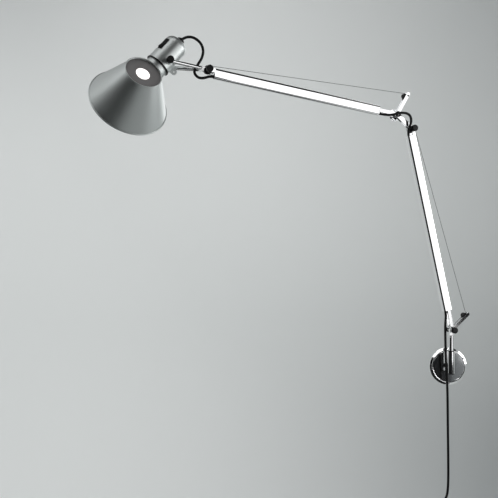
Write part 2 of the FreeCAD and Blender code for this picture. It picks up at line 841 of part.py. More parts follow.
def knuckle_plates():
    lean_angle = float(knee_lever_angle) - float(link_angle)
    knee_at = (link_length, 0)

    def plate(low, high):
        link = bar(link_length, link_width, low, high)
        lever = lever_bar(low, high)
        lever.Placement = Placement(Vector(float(link_length), 0, 0),
                                    Rotation(Vector(0, 0, 1), lean_angle))
        return cut(fuse(link, lever), cylinder(bore_radius, low, high),
                   cylinder(pin_radius, low, high, knee_at))
    plates = both_sides(plate, core_half, core_half + bar_thickness)
    return finish("knuckle_plates", group(*plates), in_lamp(link_frame))


def knee_pin():
    """The pin at the top of the knuckle, with the sleeve that spaces the plates."""
    shaft = cylinder(pin_radius, -(cheek_outer + knee_disc_length), cheek_outer + knee_cap_length)
    sleeve = cylinder(pin_radius + 2, -core_half, core_half)
    return finish("knee_pin", fuse(shaft, sleeve), in_lamp(turned_frame(knee, upper_angle)))


def knee_disc():
    """The polished disc on the far side of the knee."""
    near_face = -(cheek_outer + side_gap)
    body = turned([(pin_radius, near_face - knee_disc_length), (knee_disc_radius, near_face - knee_disc_length),
                   (knee_disc_radius, near_face), (pin_radius, near_face)])
    rounded(body, 1, circle_at(near_face - knee_disc_length, knee_disc_radius))
    return finish("knee_disc", body, in_lamp(turned_frame(knee, upper_angle)))


def knee_cap():
    low = cheek_outer + side_gap
    body = turned([(pin_radius, low), (knee_cap_radius, low), (knee_cap_radius, low + knee_cap_length - 0.8),
                   (knee_cap_radius - 0.8, low + knee_cap_length), (pin_radius, low + knee_cap_length)])
    body.Placement = turned_frame(knee, upper_angle)
    return body


def knuckle_fasteners():
    """The near cap of the knee and the pin of the wire anchor."""
    pieces = group(knee_cap(), anchor_pin(knee_lever_frame))
    return finish("knuckle_fasteners", pieces, in_lamp(FLAT))


# ---- yoke ---------------------------------------------------------------------------------

boss_face = collar_radius + 0.8               # the collar's pivot bosses reach this far out
eye_inner = boss_face + side_gap
eye_outer = eye_inner + yoke_eye_width


def yoke():
    """Two bars round the wrist roller, a cross piece and two rods that open to the eyes."""
    roots = both_sides(lambda low, high: bar(yoke_bridge_start + yoke_bridge / 2, cheek_width, low, high),
                       core_half, core_half + bar_thickness)
    half = cheek_width / 2
    spread = rod_root + rod_radius
    bridge = box((yoke_bridge_start, -half, -spread), (yoke_bridge_start + yoke_bridge, half, spread))
    rod_start = float(yoke_bridge_start) + float(yoke_bridge) / 2
    run = float(yoke_length) - rod_start
    rods = []
    eyes = []
    for side in (1, -1):
        rise = (float(eye_inner) + float(eye_outer)) / 2 - float(rod_root)
        rod = doc.addObject("Part::Cylinder", "rod")
        bind(rod, "Radius", rod_radius)
        rod.Height = math.hypot(run, rise)
        rod.Placement = Placement(Vector(rod_start, 0, side * float(rod_root)),
                                  Rotation(Vector(0, 0, 1), Vector(run, 0, side * rise)))
        rods.append(rod)
        low, high = sorted((side * eye_inner, side * eye_outer), key=float)
        eyes.append(cylinder(yoke_eye_radius, low, high, (yoke_length, 0)))
    solid = fuse(*roots, bridge, *rods, *eyes)
    clear = box((yoke_length - yoke_eye_radius - 6, -yoke_eye_radius, -eye_inner),
                (yoke_length + yoke_eye_radius, yoke_eye_radius, eye_inner))
    seats = both_sides(lambda low, high: cylinder(yoke_eye_radius, low, high, (yoke_length, 0)),
                       eye_outer, eye_outer + rod_radius)
    tilt_bore = cylinder(tilt_pin_radius + fit_gap, -eye_outer, eye_outer, (yoke_length, 0))
    wrist_bore = cylinder(bore_radius, -cheek_outer, cheek_outer)
    return finish("yoke", cut(solid, clear, *seats, tilt_bore, wrist_bore), in_lamp(yoke_frame))


pin_root = collar_radius - 6                  # inner ends of the tilt pins


def tilt_pins():
    """The near pin carries the tilt knob; the far one ends in a round head."""
    near_pin = cylinder(tilt_pin_radius, pin_root, eye_outer + washer_thickness + tilt_knob_length - 4)
    washer = cylinder(yoke_eye_radius - 0.7, eye_outer + side_gap / 2, eye_outer + washer_thickness)
    far_pin = cylinder(tilt_pin_radius, -(eye_outer + 2.4), -pin_root)
    far_head = cylinder(yoke_eye_radius - 0.7, -(eye_outer + 2.4), -(eye_outer + side_gap))
    pieces = group(fuse(near_pin, washer), fuse(far_pin, far_head))
    return finish("tilt_pins", pieces, in_lamp(head_frame))


# ---- lampholder: Z to the rear, X to the top, Y to the near side ---------------------------

def collar():
    """The front sleeve of the lampholder, with the two tilt bosses and the drilled lug."""
    shell = cylinder(collar_radius, -collar_front, collar_back)
    across = (-holder_offset, 0)
    boss = cylinder(yoke_eye_radius, -boss_face, boss_face, across, "y")
    half = lug_width / 2
    lug_low = -(collar_radius + lug_reach - 5)
    lug = box((lug_low, -half, -lug_reach / 2), (-(collar_radius - 3), half, lug_reach / 2))
    lug_eye = cylinder(lug_reach / 2, -half, half, (lug_low, 0), "y")
    inside = cylinder(collar_radius - collar_wall, -collar_front, collar_back)
    lug_hole = cylinder(lug_hole_radius, -half, half, (lug_low, 0), "y")
    pins = cylinder(tilt_pin_radius, -boss_face, boss_face, across, "y")
    groove_low = collar_back - collar_groove
    groove = cut(cylinder(collar_radius + 1, groove_low, collar_back),
                 cylinder(collar_radius - collar_groove, groove_low, collar_back))
    return finish("collar", cut(fuse(shell, boss, lug, lug_eye), inside, lug_hole, pins, groove),
                  in_lamp(holder_frame))


holder_back = collar_back + housing_length


def switch_frame_place():
    """Out of the lampholder's side at the switch: X outwards, Z to the rear."""
    spin = Placement(Vector(0, 0, 0), Rotation(Vector(0, 0, 1), float(switch_angle)))
    return spin.multiply(Placement(Vector(0, 0, float(switch_centre)), Rotation()))


switch_low = housing_radius + 1.2 - switch_depth
switch_top = housing_radius + 1.2
rocker_axis = switch_top - 1.7


def housing():
    """The rear shell with its domed end, cable hole and switch opening."""
    inside = housing_radius - housing_wall
    hole = gland_nipple_radius
    body = turned([(inside, collar_back), (housing_radius, collar_back), (housing_radius, holder_back),
                   (hole, holder_back), (hole, holder_back - housing_wall),
                   (inside, holder_back - housing_wall)])
    rounded(body, housing_round, circle_at(holder_back, housing_radius))
    rounded(body, housing_round - housing_wall, circle_at(holder_back - housing_wall, inside))
    across = switch_width / 2 + switch_frame
    along = switch_length / 2 + switch_frame
    opening = box((switch_low, -across, -along), (switch_top + 4, across, along))
    holder = group(opening)
    holder.Placement = switch_frame_place()
    return finish("housing", cut(body, holder), in_lamp(holder_frame))


def gland():
    """The black cable entry: a flanged bush through the housing's end."""
    bore = cable_radius + fit_gap
    inner = holder_back - housing_wall - 2
    flange = holder_back + gland_width
    body = turned([(bore, inner), (gland_nipple_radius, inner), (gland_nipple_radius, holder_back),
                   (gland_radius, holder_back), (gland_radius, flange - 1.5), (gland_radius - 1.5, flange),
                   (gland_nipple_radius, flange), (gland_nipple_radius - 0.6, flange + gland_nipple),
                   (bore, flange + gland_nipple)])
    return finish("gland", body, in_lamp(holder_frame))


def switch_body():
    across = switch_width / 2
    along = switch_length / 2
    outer = box((switch_low, -(across + switch_frame), -(along + switch_frame)),
                (switch_top, across + switch_frame, along + switch_frame))
    inner = box((switch_low + 1.5, -across, -along), (switch_top, across, along))
    trunnions = cylinder(1, -(across + switch_frame), across + switch_frame, (rocker_axis, 0), "y")
    return finish("switch_body", fuse(cut(outer, inner), trunnions),
                  in_lamp(holder_frame.multiply(switch_frame_place())))


def rocker():
    """The switch key, a shallow V that rocks on the switch body's cross pin."""
    half = switch_width / 2 - 0.3
    reach = switch_length / 2 - rocker_gap
    high = rocker_rise + 1.7
    # XZ sketch: X outwards, Y along the lampholder, rear end pressed down
    corners = [(rocker_axis + high, -reach), (rocker_axis + 2.2, 0), (rocker_axis + 1.9, reach),
               (rocker_axis - 1.6, reach), (rocker_axis - 2.6, 0), (rocker_axis - 0.4, -reach)]
    body = padded(corners, -half, half * 2, "XZ_Plane")
    bore = cylinder(1 + fit_gap, -half - 1, half + 1, (rocker_axis, 0), "y")
    return finish("rocker", cut(body, bore), in_lamp(holder_frame.multiply(switch_frame_place())))


def lamp_socket():
    """The bulb's screw socket, on a flange that closes the collar's rear."""
    front = -collar_front - 3
    flange = collar_radius - collar_wall - fit_gap
    body = turned([(0, collar_back - 3), (flange, collar_back - 3), (flange, collar_back - 0.5),
                   (lamp_socket_radius, collar_back - 0.5), (lamp_socket_radius, collar_back + 12),
                   (0, collar_back + 12)])
    barrel = cylinder(lamp_socket_radius, front, collar_back - 3)
    bore = cylinder(lamp_socket_radius - 1, front, front + 14)
    return finish("lamp_socket", cut(fuse(body, barrel), bore), in_lamp(holder_frame))


def bulb():
    seat = -collar_front + 10
    tip_at = seat - bulb_length
    ball = doc.addObject("Part::Sphere", "ball")
    bind(ball, "Radius", bulb_radius)
    bind(ball, "Placement.Base.z", tip_at + bulb_radius)
    screw = cylinder(lamp_socket_radius - 1.2, seat - 12, seat)
    stalk = doc.addObject("Part::Cone", "stalk")
    bind(stalk, "Radius1", bulb_radius * 0.86)
    bind(stalk, "Radius2", lamp_socket_radius - 1.2)
    bind(stalk, "Height", bulb_length - 12 - bulb_radius * 1.5)
    bind(stalk, "Placement.Base.z", tip_at + bulb_radius * 1.5)
    return finish("bulb", fuse(ball, stalk, screw), in_lamp(holder_frame))


# ---- shade head: turns round the lampholder's axis in front of the collar -----------------

ring_back = -(collar_front + side_gap)
ring_front = ring_back - ring_width


def roll_ring():
    """The black ring with the sleeve that runs inside the collar."""
    sleeve = collar_radius - collar_wall - 0.1
    inner = neck_radius - neck_wall
    body = turned([(inner, ring_front), (ring_radius, ring_front), (ring_radius, ring_back),
                   (sleeve, ring_back), (sleeve, ring_back + 6), (inner, ring_back + 6)])
    return finish("roll_ring", body, in_lamp(holder_frame))


def cone(low_radius, high_radius, low, high):
    piece = doc.addObject("Part::Cone", "cone")
    bind(piece, "Radius1", low_radius)
    bind(piece, "Radius2", high_radius)
    bind(piece, "Height", sized(high) - low)
    bind(piece, "Placement.Base.z", low)
    return piece


def bead(ring_at, height, radius):
    piece = doc.addObject("Part::Torus", "bead")
    bind(piece, "Radius1", ring_at)
    bind(piece, "Radius2", radius)
    bind(piece, "Placement.Base.z", height)
    return piece


def along_neck(piece):
    """Set a piece drawn along Z on the lampholder's axis, seen from the shade."""
    holder = group(piece)
    holder.Placement = Placement(Vector(0, 0, -float(axis_depth)),
                                 Rotation(Vector(0, 1, 0), float(shade_angle)))
    return holder


def shade():
    """The conical shell with its beaded mouth and crown, and the neck welded to its side."""
    slant_wall = shade_wall * 1.15
    neck_end = axis_reach + ring_front
    neck_start = neck_end - 30
    skin = cut(cone(mouth_radius, crown_radius, -shade_height, 0),
               cone(mouth_radius - slant_wall, crown_radius - slant_wall, -shade_height, 0))
    mouth_bead = bead(mouth_radius, -shade_height, lip_radius)
    crown_bead = bead(crown_radius, 0, lip_radius * 0.8)
    neck = cut(along_neck(cylinder(neck_radius, neck_start, neck_end)),
               cone(mouth_radius - slant_wall, crown_radius - slant_wall, -shade_height, 0))
    bore = along_neck(cylinder(neck_radius - neck_wall, neck_start - 4, neck_end + 1))
    return finish("shade", cut(fuse(skin, mouth_bead, crown_bead, neck), bore), in_lamp(shade_frame))


def crown_inside(depth):
    """Inner radius of the cone at a depth under the crown."""
    slope = (mouth_radius - crown_radius) / shade_height
    return crown_radius - shade_wall * 1.15 + slope * depth


def baffle():
    outer = crown_inside(baffle_recess) - 0.1
    low = -(baffle_recess + baffle_thickness)
    body = turned([(window_radius, low), (outer, low), (outer, -baffle_recess),
                   (window_radius, -baffle_recess)])
    return finish("baffle", body, in_lamp(shade_frame))


def window():
    low = -(baffle_recess + baffle_thickness)
    pane = cylinder(window_radius - fit_gap, low, -baffle_recess - 0.3)
    return finish("window", group(pane), in_lamp(shade_frame))


def handle_rod():
    """The turning handle: a rod inside the shade that stands out of its mouth."""
    low = -(shade_height + handle_reach)
    top = -60
    rod = turned([(0, low), (handle_radius, low), (handle_radius, top), (0, top)])
    rounded(rod, handle_radius * 0.9, circle_at(low, handle_radius))
    rod.Placement = Placement(Vector(float(handle_offset), 0, 0), Rotation())
    foot_depth = 60 + handle_radius
    foot = cylinder(handle_radius * 0.8, handle_offset, crown_inside(foot_depth) + 3,
                    (0, -foot_depth), "x")
    inset = shade_wall * 1.15 + fit_gap
    hollow = cone(mouth_radius - inset, crown_radius - inset, -shade_height, 0)
    arm = common(foot, hollow)
    return finish("handle_rod", fuse(rod, arm), in_lamp(shade_frame))


# ---- cables -------------------------------------------------------------------------------

def at(x, y, z=0.0):
    return Vector(float(x), float(y), float(z))


def head_cable():
    """From the gland round in a loop and down between the yoke's rods."""
    def on_axis(reach):
        return holder_frame.multVec(Vector(0, 0, float(holder_back) + reach))
    route = [on_axis(1), on_axis(9.5), at(-652.5, 733.5), at(-637.5, 731), at(-625, 720.5),
             at(-620.2, 706), at(-623.5, 691), at(-631.5, 678), HEAD_CABLE_END]
    return cord_path("head_cable", route)


HEAD_CABLE_END = at(-637.5, 668)


def wrist_cable():
    start = HEAD_CABLE_END
    end = tube_end(upper_frame, upper_length - tube_end_gap, cable_offset)
    before = tube_end(upper_frame, upper_length - tube_end_gap + 9, cable_offset)
    way = (start - at(-631.5, 678)).normalize()
    route = [start, start + way * 6, at(-639.5, 655), at(-632, 648.2), at(-621, 647.5, 1), before, end]
    return cord_path("wrist_cable", route)


KNUCKLE_CABLE = at(-141, 602.3, 16)


def knee_cable():
    start = tube_end(upper_frame, upper_tube_start, cable_offset)
    second = tube_end(upper_frame, upper_tube_start - 8, cable_offset)
    route = [start, second, at(-174, 596, 9.5), at(-160.5, 599.3, 14), at(-150, 602.3, 16),
             KNUCKLE_CABLE]
    return cord_path("knee_cable", route)


def elbow_cable():
    over = tube_end(lower_frame, arm_length + 2, cable_offset, 9.5)
    before = tube_end(lower_frame, arm_length - tube_end_gap + 7, cable_offset)
    end = tube_end(lower_frame, arm_length - tube_end_gap, cable_offset)
    route = [KNUCKLE_CABLE, at(-131, 602.3, 16), at(-121.5, 594.5, 15), at(-119.5, 583, 13.5), over,
             before, end]
    return cord_path("elbow_cable", route)


TAIL_END = at(-15.5, 40)


def tail_cable():
    start = tube_end(lower_frame, lower_tube_start, cable_offset)
    second = tube_end(lower_frame, lower_tube_start - 10, cable_offset)
    route = [start, second, at(-17, 112, 1), at(-17.2, 90, 0.5), at(-16.2, 62), TAIL_END]
    return cord_path("tail_cable", route)


def hanging_cord():
    """Straight down in front of the wall plate, past the lower edge of the view."""
    route = [TAIL_END, at(-14.8, 18), at(-12, -22), at(-10.2, -64), at(-9.4, -140), at(-8.2, -220),
             at(-8.2, -284), at(-12.5, -310), HANK_TOP + at(0, 7), HANK_TOP]
    return cord_path("hanging_cord", route)


HANK_TOP = at(-hank_bend, hank_high + hank_lead, -hank_loops * hank_pitch / 2)
HANK_END = at(0, hank_low - hank_tail)


def tangent_edge(point, way, goal, reverse):
    """The arc or line that leaves a point along a direction and reaches the goal."""
    first, last = (goal, point) if reverse else (point, goal)
    ray = goal - point
    normal = ray.cross(way)
    if normal.Length < 1e-6:
        return Part.makeLine(first, last)
    side = way.cross(normal).normalize()
    radius = ray.dot(ray) / (2 * ray.dot(side))
    centre = point + side * radius
    crest = ((point - centre) + (goal - centre)).normalize() * abs(radius)
    return Part.Arc(first, centre + crest, last).toShape()


def biarc(start, start_way, end, end_way):
    """Two tangent arcs, or one straight run, from a point and direction to the next."""
    chord = end - start
    if chord.cross(start_way).Length < 1e-6 and chord.cross(end_way).Length < 1e-6:
        return [Part.makeLine(start, end)]
    total = start_way + end_way
    across = 2 * (1 - start_way.dot(end_way))
    reach = chord.dot(total)
    if across < 1e-9:
        step = chord.dot(chord) / (4 * chord.dot(end_way))
    else:
        step = (-reach + math.sqrt(reach * reach + across * chord.dot(chord))) / across
    middle = ((start + start_way * step) + (end - end_way * step)) / 2
    return [tangent_edge(start, start_way, middle, False),
            tangent_edge(end, end_way * -1, middle, True)]


def hank_route():
    """Loops side by side, drawn in at the waist, each climbing one pitch along its right run."""
    down = at(0, -1)
    rise = at(0, 1)
    waist = (hank_low + hank_high) / 2
    route = [(HANK_TOP, down), (at(-hank_bend, hank_high, HANK_TOP.z), down)]
    for loop in range(int(float(hank_loops))):
        depth = HANK_TOP.z + loop * hank_pitch
        route.append((at(-hank_waist, waist, depth), down))
        route.append((at(-hank_bend, hank_low, depth), down))
        route.append((at(0, hank_low - hank_bend, depth), at(1, 0)))
        route.append((at(hank_bend, hank_low, depth), rise))
        route.append((at(hank_waist, waist, depth + hank_pitch / 2), rise))
        route.append((at(hank_bend, hank_high, depth + hank_pitch), rise))
        route.append((at(0, hank_high + hank_bend, depth + hank_pitch), at(-1, 0)))
        route.append((at(-hank_bend, hank_high, depth + hank_pitch), down))
    depth = HANK_TOP.z + hank_loops * hank_pitch
    route.append((at(-hank_waist, waist, depth), down))
    route.append((at(-hank_bend, hank_low - 21, depth), down))
    route.append((HANK_END + at(0, 6), down))
    route.append((HANK_END, down))
    return route


def least_self_gap(path, radius):
    """Smallest clear space between stretches of a tube more than a few turns apart."""
    points = []
    travelled = []
    total = 0.0
    for edge in path.Edges:
        count = max(3, int(edge.Length / 2))
        for point in edge.discretize(count)[:-1]:
            if points:
                total += (point - points[-1]).Length
            points.append(point)
            travelled.append(total)
    least = 1e9
    for i, point in enumerate(points):
        for j in range(i + 1, len(points)):
            if travelled[j] - travelled[i] > 8 * radius:
                least = min(least, (points[j] - point).Length)
    return least - 2 * radius


def cord_hank():
    route = hank_route()
    edges = []
    for (start, way), (end, end_way) in zip(route, route[1:]):
        edges += biarc(start, way, end, end_way)
    path = Part.Wire(edges)
    print("cord_hank least gap to itself %.2f" % least_self_gap(path, float(cable_radius)))
    return path


def hank_tie():
    """A flat band round the waist of the hank."""
    waist = (hank_low + hank_high) / 2
    across = hank_waist + cable_radius + tie_gap
    depth = hank_loops * hank_pitch / 2 + cable_radius + tie_gap
    low = waist - tie_half
    high = waist + tie_half
    outer = box((-(across + tie_wall), low, -(depth + tie_wall)), (across + tie_wall, high, depth + tie_wall))
    inner = box((-across, low, -depth), (across, high, depth))
    return finish("hank_tie", cut(outer, inner), in_lamp(FLAT))


def mains_plug():
    """A slim two-pin plug with a tapered strain relief, hanging pins down."""
    top = HANK_END.y
    shoulder_at = top - relief_length
    foot = shoulder_at - plug_length
    relief = turned([(cable_radius, 0), (cable_radius + 1.3, 0), (relief_radius, relief_length),
                     (cable_radius, relief_length)])
    relief.Placement = Placement(Vector(0, top, 0), Rotation(Vector(1, 0, 0), 90))
    core = cylinder(cable_radius, shoulder_at, top - side_gap, (0, 0), "y")
    body = box((-(plug_width / 2), foot, -(plug_thickness / 2)),
               (plug_width / 2, shoulder_at, plug_thickness / 2))
    prongs = [cylinder(prong_radius, foot - prong_length, foot, (side * prong_spacing / 2, 0), "y")
              for side in (-1, 1)]
    return finish("mains_plug", fuse(relief, core, body, *prongs), in_lamp(FLAT))


# ---- assembly -----------------------------------------------------------------------------

wall_plate()
plate_cover()
bracket_screws()
socket_tube()
socket_bush()
end_plug()

stem()
stem_lever()
wire_anchor("stem_anchor", stem_lever_frame)
pivot_pin("shoulder_pin", turned_frame(shoulder, 0))
stem_fasteners()
hand_knob("shoulder_knob", turned_frame(shoulder, 0), knob_radius, knob_length, knob_seat)

lower_end = arm_length - tube_end_gap
arm_tube("lower_arm_tube", lower_frame, lower_tube_start, lower_end)
foot_fork("lower_foot_fork", lower_frame, lower_tube_start)
head_fork("lower_head_fork", lower_frame, arm_length)
balance_spring("lower_spring", lower_frame, lower_tube_start, lower_spring_length)
arm_cable("lower_arm_cable", lower_frame, lower_tube_start, lower_end)
guide_roller("lower_roller", turned_frame(elbow, 0))
balance_wire("lower_wire", lower_frame, arm_length, stem_lever_frame,
             lower_tube_start + spring_start + lower_spring_length)

knuckle_plates()
wire_anchor("knuckle_anchor", knee_lever_frame)
pivot_pin("elbow_pin", turned_frame(elbow, 0), pivot_nut())
knee_pin()
knee_disc()
knuckle_fasteners()
hand_knob("elbow_knob", turned_frame(elbow, 0), knob_radius, knob_length, knob_seat)

upper_end = upper_length - tube_end_gap
arm_tube("upper_arm_tube", upper_frame, upper_tube_start, upper_end)
foot_fork("upper_foot_fork", upper_frame, upper_tube_start)
head_fork("upper_head_fork", upper_frame, upper_length)
balance_spring("upper_spring", upper_frame, upper_tube_start, upper_spring_length)
arm_cable("upper_arm_cable", upper_frame, upper_tube_start, upper_end)
guide_roller("upper_roller", turned_frame(wrist, 0))
balance_wire("upper_wire", upper_frame, upper_length, knee_lever_frame,
             upper_tube_start + spring_start + upper_spring_length)

yoke()
pivot_pin("wrist_pin", turned_frame(wrist, 0))
finish("wrist_nut", pivot_nut(), in_lamp(turned_frame(wrist, 0)))
hand_knob("wrist_knob", turned_frame(wrist, 0), knob_radius, knob_length, knob_seat)

collar()
housing()
gland()
switch_body()
rocker()
lamp_socket()
bulb()
tilt_pins()
hand_knob("tilt_knob", turned_frame(tilt, 0), tilt_knob_radius, tilt_knob_length,
          eye_outer + washer_thickness)

roll_ring()
shade()
baffle()
window()
handle_rod()

add_tube("head_cable", head_cable(), cable_radius, ARM_PLANE)
add_tube("wrist_cable", wrist_cable(), cable_radius, ARM_PLANE)
add_tube("knee_cable", knee_cable(), cable_radius, ARM_PLANE)
add_tube("elbow_cable", elbow_cable(), cable_radius, ARM_PLANE)
add_tube("tail_cable", tail_cable(), cable_radius, ARM_PLANE)
add_tube("hanging_cord", hanging_cord(), cable_radius, ARM_PLANE)
add_tube("cord_hank", cord_hank(), cable_radius, ARM_PLANE)
hank_tie()
mains_plug()

doc.recompute()
failed = [item.Name for item in doc.Objects if "Invalid" in item.State or "Error" in item.State]
bad = [label for label, piece in parts.items() if piece.Shape.isNull() or not piece.Shape.isValid()]
if failed or bad:
    raise RuntimeError("failed objects %s, bad shapes %s" % (failed, bad))
for label, piece in parts.items():
    piece.Shape.exportStep("parts/%s.step" % label)
print("%d sub-parts written" % len(parts))
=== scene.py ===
import json
import math

import bpy
import numpy as np
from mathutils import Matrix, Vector


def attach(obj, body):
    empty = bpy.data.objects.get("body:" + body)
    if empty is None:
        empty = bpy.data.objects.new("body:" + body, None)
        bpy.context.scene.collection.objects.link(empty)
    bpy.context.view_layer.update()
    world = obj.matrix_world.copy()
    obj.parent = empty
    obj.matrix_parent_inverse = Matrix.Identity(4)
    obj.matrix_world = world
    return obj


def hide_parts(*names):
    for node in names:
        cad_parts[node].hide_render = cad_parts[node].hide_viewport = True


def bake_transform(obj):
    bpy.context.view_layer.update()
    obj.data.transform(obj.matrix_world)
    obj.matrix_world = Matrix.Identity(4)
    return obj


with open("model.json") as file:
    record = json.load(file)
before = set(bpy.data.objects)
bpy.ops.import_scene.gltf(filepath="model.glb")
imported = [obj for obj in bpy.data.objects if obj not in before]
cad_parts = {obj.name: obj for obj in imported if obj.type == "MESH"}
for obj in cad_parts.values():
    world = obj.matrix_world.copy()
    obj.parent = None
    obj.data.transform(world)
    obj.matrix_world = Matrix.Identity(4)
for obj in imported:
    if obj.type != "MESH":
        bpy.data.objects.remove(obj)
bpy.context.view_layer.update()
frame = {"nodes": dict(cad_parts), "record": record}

scene = bpy.context.scene
scene.view_settings.view_transform = "Standard"


# the lamp's arms lie in one upright plane, swung away from the wall
armPlane = {"swing": 20.0, "wallGap": 32.0}
swing = math.radians(armPlane["swing"])
rightWay = np.array([math.cos(swing), math.sin(swing), 0.0])
nearWay = np.array([math.sin(swing), -math.cos(swing), 0.0])
upWay = np.array([0.0, 0.0, 1.0])


# millimetres in the arms' plane (right, up, near) to metres in the lamp
def inPlane(points):
    flat = np.atleast_2d(np.array([list(p) + [0.0] * (3 - len(p)) for p in points], float))
    spot = flat[:, :1] * rightWay + flat[:, 1:2] * upWay + flat[:, 2:] * nearWay
    return (spot + np.array([0.0, -armPlane["wallGap"], 0.0])) / 1000


# a member's own axes: its foot, and the direction it runs in, in degrees
class Member:
    def __init__(self, foot, degrees):
        self.foot = np.array(foot, float)
        turn = math.radians(degrees)
        self.along = np.array([math.cos(turn), math.sin(turn)])
        self.across = np.array([-math.sin(turn), math.cos(turn)])

    def at(self, x, y=0.0, z=0.0):
        flat = self.foot + self.along * x + self.across * y
        return (flat[0], flat[1], z)


# the lamp at rest: lengths in millimetres, turns in degrees from the plane's right
rest = {"shoulderHeight": 92.0, "tipSide": -5.5,
        "lowerTurn": 103.7, "lowerLength": 490.0, "linkTurn": 143.2, "linkLength": 51.4,
        "upperTurn": 172.45, "upperLength": 463.5, "yokeTurn": 177.25, "yokeLength": 91.7,
        "headTurn": 49.0, "stemLeverTurn": 39.2, "kneeLeverTurn": 58.9}
shoulder = (0.0, rest["shoulderHeight"])
lowerArm = Member(shoulder, rest["lowerTurn"])
elbow = lowerArm.at(rest["lowerLength"], rest["tipSide"])[:2]
knee = Member(elbow, rest["linkTurn"]).at(rest["linkLength"])[:2]
upperArm = Member(knee, rest["upperTurn"])
wrist = upperArm.at(rest["upperLength"], rest["tipSide"])[:2]
tilt = Member(wrist, rest["yokeTurn"]).at(rest["yokeLength"])[:2]
head = Member(tilt, rest["headTurn"])
stemLever = Member(shoulder, rest["stemLeverTurn"])
kneeLever = Member(knee, rest["kneeLeverTurn"])

# the camera looks straight at the wall, 1.8 m off
cameraSpot = {"place": (-0.4866, -1.8, 0.2864), "lens": 53.1, "sensor": 36.0, "nearest": 0.02}
camera = bpy.data.objects.new("camera", bpy.data.cameras.new("camera"))
camera.data.lens = cameraSpot["lens"]
camera.data.sensor_width = cameraSpot["sensor"]
camera.data.clip_start = cameraSpot["nearest"]
camera.location = cameraSpot["place"]
camera.rotation_euler = (math.radians(90), 0.0, 0.0)
scene.collection.objects.link(camera)
scene.camera = camera
print("camera is set")


def meshPiece(name, points, faces, uv=None):
    mesh = bpy.data.meshes.new(name)
    mesh.from_pydata(np.asarray(points).tolist(), [], [list(face) for face in faces])
    mesh.polygons.foreach_set("use_smooth", np.full(len(mesh.polygons), True))
    if uv is not None:
        layer = mesh.uv_layers.new(name="along")
        loops = np.zeros(len(mesh.loops), int)
        mesh.loops.foreach_get("vertex_index", loops)
        layer.data.foreach_set("uv", np.asarray(uv)[loops].ravel())
    mesh.update()
    piece = bpy.data.objects.new(name, mesh)
    scene.collection.objects.link(piece)
    return piece


# quads between neighbouring rows of a grid: a round row joins its last point to its first,
# a ring joins its last row to its first, and a flipped grid shows its other side
def gridFaces(rows, columns, roundRows=True, ring=False, flipped=False):
    row = np.arange(rows if ring else rows - 1)[:, None] * columns
    nextRow = (row + columns) % (rows * columns)
    first = np.arange(columns if roundRows else columns - 1)[None, :]
    second = (first + 1) % columns
    corners = [row + first, row + second, nextRow + second, nextRow + first]
    if flipped:
        corners = corners[:1] + corners[:0:-1]
    return np.stack(corners, -1).reshape(-1, 4).tolist()


# cords: the spline's order and steps, a direction that no cord starts in,
# and the length that one tile of the cord's own map covers
cordMake = {"order": 3, "steps": 6, "offLine": (0.31, 0.9, 0.17), "tile": 0.01}


# the line that a cord's control points give, read from its own spline
def splineLine(name, points):
    curve = bpy.data.curves.new(name + "Line", "CURVE")
    curve.dimensions = "3D"
    spline = curve.splines.new("NURBS")
    spline.points.add(len(points) - 1)
    spline.points.foreach_set("co", np.hstack([points, np.ones((len(points), 1))]).ravel())
    spline.order_u = cordMake["order"]
    spline.use_endpoint_u = True
    spline.resolution_u = cordMake["steps"]
    holder = bpy.data.objects.new(name + "Line", curve)
    scene.collection.objects.link(holder)
    bpy.context.view_layer.update()
    graph = bpy.context.evaluated_depsgraph_get()
    mesh = bpy.data.meshes.new_from_object(holder.evaluated_get(graph))
    line = np.zeros(len(mesh.vertices) * 3)
    mesh.vertices.foreach_get("co", line)
    bpy.data.objects.remove(holder)
    bpy.data.meshes.remove(mesh)
    return line.reshape(-1, 3)


# directions across a line that turn with it and never twist
def acrossLine(line):
    along = np.gradient(line, axis=0)
    along /= np.linalg.norm(along, axis=1)[:, None]
    first = np.cross(along[0], cordMake["offLine"])
    sides = [first / np.linalg.norm(first)]
    for way in along[1:]:
        side = sides[-1] - way * np.dot(sides[-1], way)
        sides.append(side / np.linalg.norm(side))
    sides = np.array(sides)
    return sides, np.cross(along, sides)


# ring k of the tube: line point + radius * (cos a * side + sin a * other side)
def tubePiece(name, line, radius, around):
    sides, others = acrossLine(line)
    angle = np.linspace(0, 2 * math.pi, around, endpoint=False)
    rim = (np.cos(angle)[None, :, None] * sides[:, None, :]
           + np.sin(angle)[None, :, None] * others[:, None, :])
    points = (line[:, None, :] + radius * rim).reshape(-1, 3)
    faces = gridFaces(len(line), around)
    faces.append(list(range(around))[::-1])
    faces.append(list(range(len(points) - around, len(points))))
    steps = np.linalg.norm(np.diff(line, axis=0), axis=1)
    travelled = np.concatenate([[0], np.cumsum(steps)])
    uv = np.stack([np.repeat(travelled / cordMake["tile"], around),
                   np.tile(angle / (2 * math.pi), len(line))], -1)
    return meshPiece(name, points, faces, uv)


cordFacts = {"diameter": 5.8, "tailEnd": (-15.5, 40.0), "length": 1.80,
             "mainsAround": 16, "cableAround": 20}
# the spare cord's loops: bend radius, half width at the waist, heights of the two rows of
# bends, depth of one loop; the corners round each bend; and where the cord leaves for the plug
hank = {"bend": 17.4, "waist": 13.0, "low": -445.0, "high": -345.0, "pitch": 6.5, "loops": 4,
        "lead": 10.0, "waistHalf": 14.0, "waistShares": (0.4, 0.6),
        "corners": 4, "cornerTurn": 45.0, "lowTurn": 202.5, "highTurn": 22.5,
        "leave": 21.0, "tail": 62.0, "tailBend": (-2.0, 18.0, 1.5)}


